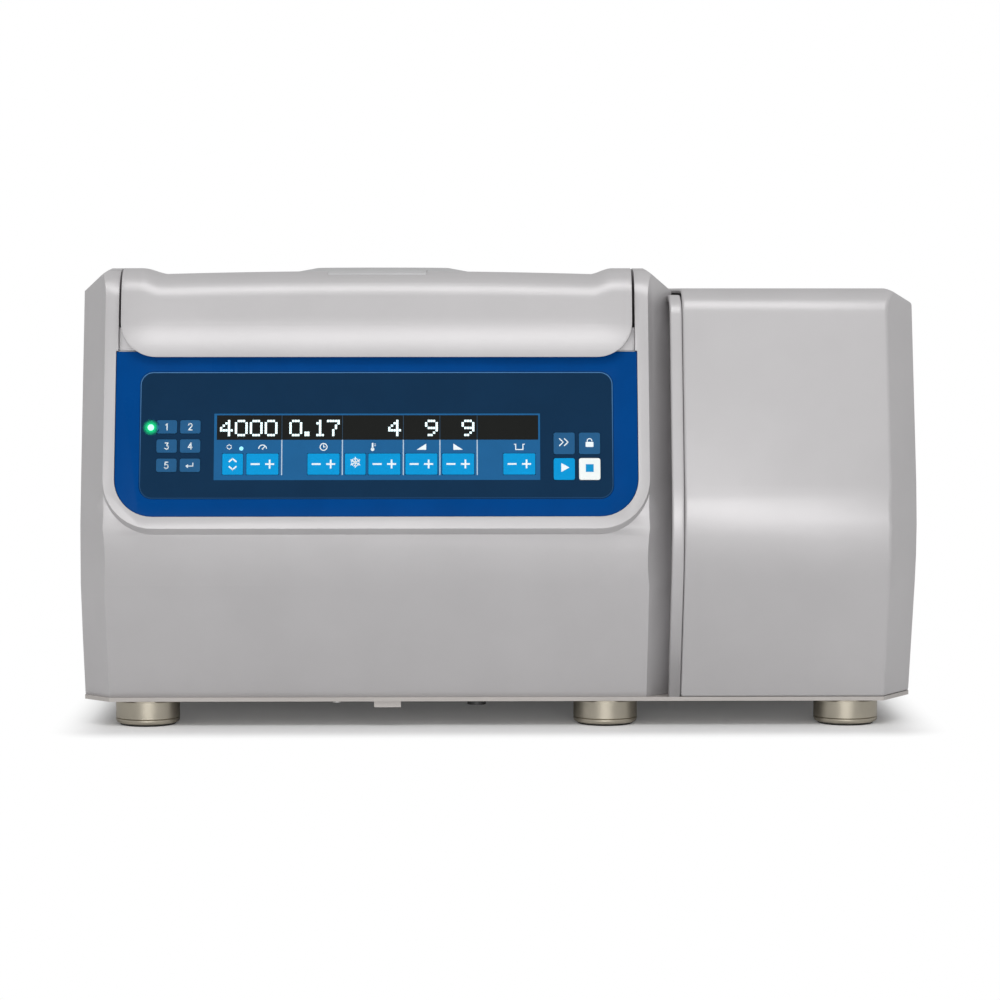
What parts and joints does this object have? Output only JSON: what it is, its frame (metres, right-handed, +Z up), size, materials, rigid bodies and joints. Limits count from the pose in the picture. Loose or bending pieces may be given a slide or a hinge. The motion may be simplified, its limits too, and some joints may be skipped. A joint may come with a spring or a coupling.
{
  "type": "cytocentrifuge",
  "caption": "Refrigerated bench cytocentrifuge: drive unit with clamshell lid and sloping control panel, side cooling unit, rotor with slide carriers and sample chambers.",
  "frame": {"origin": "on the table, under the middle of the whole instrument", "axes": "+X to the right seen from the front, the front faces -Y, +Z up"},
  "size_m": [0.623, 0.613, 0.3435],
  "materials": {
    "silver_housing": "satin silver grey",
    "silver_sheet": "satin silver grey",
    "light_sheet_metal": "satin light warm grey",
    "grey_deck": "satin grey",
    "grey_liner": "satin grey",
    "champagne_metal": "satin anodised",
    "black_rubber": "matt",
    "blue_frame": "semi-gloss blue",
    "dark_overlay": "satin dark blue",
    "dark_key": "satin blue",
    "cyan_key": "satin cyan",
    "white_key": "satin white",
    "circuit_board": "green board",
    "stainless": "brushed",
    "screw_steel": "zinc plated",
    "guard_steel": "grey primer",
    "shaft_steel": "ground",
    "spring_steel": "oiled",
    "foam": "rigid foam",
    "copper_tube": "copper",
    "motor_aluminium": "cast",
    "rotor_aluminium": "anodised grey",
    "white_plastic": "moulded white",
    "clear_plastic": "clear",
    "port_plastic": "satin light grey",
    "black_paint": "black enamel",
    "black_plastic": "black",
    "fin_aluminium": "thin sheet"
  },
  "bodies": {
    "housing": {"base_tray": "light_sheet_metal", "bulkhead": "silver_housing", "casing_screws": "screw_steel", "chamber_bowl": "stainless", "chamber_deck": "grey_deck", "chamber_foam": "foam", "chamber_seal": "black_rubber", "compressor": "black_paint", "condenser": "fin_aluminium", "control_bezel": "blue_frame", "control_board": "circuit_board", "control_overlay": "dark_overlay", "cooling_casing": "silver_housing", "drive_motor": "motor_aluminium", "fan_shroud": "black_plastic", "feet": "champagne_metal", "foot_pads": "black_rubber", "guard_ring": "guard_steel", "hinge_brackets": "guard_steel", "hinge_pins": "shaft_steel", "inverter_board": "circuit_board", "lock_cases": "guard_steel", "main_casing": "silver_housing", "motor_mounts": "black_rubber", "power_inlet": "black_plastic", "rear_panel": "silver_sheet", "refrigerant_lines": "copper_tube", "torsion_springs": "spring_steel"},
    "lid": {"lid_shell": "silver_housing", "lid_liner": "grey_liner", "port_window": "port_plastic", "hinge_arms": "guard_steel", "lid_strikers": "stainless"},
    "lid_lock": {"lock_hooks": "shaft_steel"},
    "rotor": {"drive_shaft": "shaft_steel", "rotor_head": "rotor_aluminium", "slide_carriers": "stainless", "sample_chambers": "white_plastic"},
    "rotor_cover": {"rotor_lid": "clear_plastic"},
    "cooling_fan": {"fan_rotor": "black_plastic"},
    "mains_switch": {"power_switch": "black_plastic"},
    "lid_release": {"release_plug": "black_plastic"},
    "program_key_1_body": {"program_key_1": "dark_key"},
    "program_key_2_body": {"program_key_2": "dark_key"},
    "program_key_3_body": {"program_key_3": "dark_key"},
    "program_key_4_body": {"program_key_4": "dark_key"},
    "program_key_5_body": {"program_key_5": "dark_key"},
    "program_enter_key_body": {"program_enter_key": "dark_key"},
    "speed_mode_key_body": {"speed_mode_key": "cyan_key"},
    "precool_key_body": {"precool_key": "cyan_key"},
    "pulse_key_body": {"pulse_key": "dark_key"},
    "lid_open_key_body": {"lid_open_key": "dark_key"},
    "start_key_body": {"start_key": "cyan_key"},
    "stop_key_body": {"stop_key": "white_key"},
    "speed_rocker_body": {"speed_rocker": "cyan_key"},
    "time_rocker_body": {"time_rocker": "cyan_key"},
    "temperature_rocker_body": {"temperature_rocker": "cyan_key"},
    "acceleration_rocker_body": {"acceleration_rocker": "cyan_key"},
    "deceleration_rocker_body": {"deceleration_rocker": "cyan_key"},
    "bucket_rocker_body": {"bucket_rocker": "cyan_key"}
  },
  "joints": [
    {"name": "lid_hinge", "type": "hinge", "parent": "housing", "child": "lid", "pos_m": [-0.09075, 0.232, 0.302], "axis": [-1, 0, 0], "range_deg": [0, 72]},
    {"name": "lid_lock_turn", "type": "hinge", "parent": "housing", "child": "lid_lock", "pos_m": [-0.09075, -0.256, 0.246], "axis": [-1, 0, 0], "range_deg": [0, 40]},
    {"name": "rotor_spin", "type": "hinge", "parent": "housing", "child": "rotor", "pos_m": [-0.09075, -0.045, 0.12], "axis": [0, 0, 1], "continuous": true},
    {"name": "rotor_cover_lift", "type": "slide", "parent": "rotor", "child": "rotor_cover", "axis": [0, 0, 1], "range_m": [0, 0.045]},
    {"name": "fan_spin", "type": "hinge", "parent": "housing", "child": "cooling_fan", "pos_m": [0.221, 0.245, 0.15], "axis": [0, 1, 0], "continuous": true},
    {"name": "mains_switch_tip", "type": "hinge", "parent": "housing", "child": "mains_switch", "pos_m": [-0.178, 0.296, 0.062], "axis": [1, 0, 0], "range_deg": [0, 16]},
    {"name": "lid_release_pull", "type": "slide", "parent": "housing", "child": "lid_release", "axis": [0, 0, -1], "range_m": [0, 0.012]},
    {"name": "program_key_1_press", "type": "slide", "parent": "housing", "child": "program_key_1_body", "axis": [0, 0.9703, -0.2419], "range_m": [0, 0.00035], "stiffness_N_per_m": 600},
    {"name": "program_key_2_press", "type": "slide", "parent": "housing", "child": "program_key_2_body", "axis": [0, 0.9703, -0.2419], "range_m": [0, 0.00035], "stiffness_N_per_m": 600},
    {"name": "program_key_3_press", "type": "slide", "parent": "housing", "child": "program_key_3_body", "axis": [0, 0.9703, -0.2419], "range_m": [0, 0.00035], "stiffness_N_per_m": 600},
    {"name": "program_key_4_press", "type": "slide", "parent": "housing", "child": "program_key_4_body", "axis": [0, 0.9703, -0.2419], "range_m": [0, 0.00035], "stiffness_N_per_m": 600},
    {"name": "program_key_5_press", "type": "slide", "parent": "housing", "child": "program_key_5_body", "axis": [0, 0.9703, -0.2419], "range_m": [0, 0.00035], "stiffness_N_per_m": 600},
    {"name": "program_enter_key_press", "type": "slide", "parent": "housing", "child": "program_enter_key_body", "axis": [0, 0.9703, -0.2419], "range_m": [0, 0.00035], "stiffness_N_per_m": 600},
    {"name": "speed_mode_key_press", "type": "slide", "parent": "housing", "child": "speed_mode_key_body", "axis": [0, 0.9703, -0.2419], "range_m": [0, 0.00035], "stiffness_N_per_m": 600},
    {"name": "precool_key_press", "type": "slide", "parent": "housing", "child": "precool_key_body", "axis": [0, 0.9703, -0.2419], "range_m": [0, 0.00035], "stiffness_N_per_m": 600},
    {"name": "pulse_key_press", "type": "slide", "parent": "housing", "child": "pulse_key_body", "axis": [0, 0.9703, -0.2419], "range_m": [0, 0.00035], "stiffness_N_per_m": 600},
    {"name": "lid_open_key_press", "type": "slide", "parent": "housing", "child": "lid_open_key_body", "axis": [0, 0.9703, -0.2419], "range_m": [0, 0.00035], "stiffness_N_per_m": 600},
    {"name": "start_key_press", "type": "slide", "parent": "housing", "child": "start_key_body", "axis": [0, 0.9703, -0.2419], "range_m": [0, 0.00035], "stiffness_N_per_m": 600},
    {"name": "stop_key_press", "type": "slide", "parent": "housing", "child": "stop_key_body", "axis": [0, 0.9703, -0.2419], "range_m": [0, 0.00035], "stiffness_N_per_m": 600},
    {"name": "speed_rocker_tip", "type": "hinge", "parent": "housing", "child": "speed_rocker_body", "pos_m": [-0.17455, -0.29287, 0.19788], "axis": [0, 0.2419, 0.9703], "range_deg": [-1.2, 1.2], "stiffness_Nm_per_rad": 0.1},
    {"name": "time_rocker_tip", "type": "hinge", "parent": "housing", "child": "time_rocker_body", "pos_m": [-0.12975, -0.29287, 0.19788], "axis": [0, 0.2419, 0.9703], "range_deg": [-1.2, 1.2], "stiffness_Nm_per_rad": 0.1},
    {"name": "temperature_rocker_tip", "type": "hinge", "parent": "housing", "child": "temperature_rocker_body", "pos_m": [-0.08505, -0.29287, 0.19788], "axis": [0, 0.2419, 0.9703], "range_deg": [-1.2, 1.2], "stiffness_Nm_per_rad": 0.1},
    {"name": "acceleration_rocker_tip", "type": "hinge", "parent": "housing", "child": "acceleration_rocker_body", "pos_m": [-0.05785, -0.29287, 0.19788], "axis": [0, 0.2419, 0.9703], "range_deg": [-1.2, 1.2], "stiffness_Nm_per_rad": 0.1},
    {"name": "deceleration_rocker_tip", "type": "hinge", "parent": "housing", "child": "deceleration_rocker_body", "pos_m": [-0.03085, -0.29287, 0.19788], "axis": [0, 0.2419, 0.9703], "range_deg": [-1.2, 1.2], "stiffness_Nm_per_rad": 0.1},
    {"name": "bucket_rocker_tip", "type": "hinge", "parent": "housing", "child": "bucket_rocker_body", "pos_m": [0.0141, -0.29287, 0.19788], "axis": [0, 0.2419, 0.9703], "range_deg": [-1.2, 1.2], "stiffness_Nm_per_rad": 0.1}
  ]
}
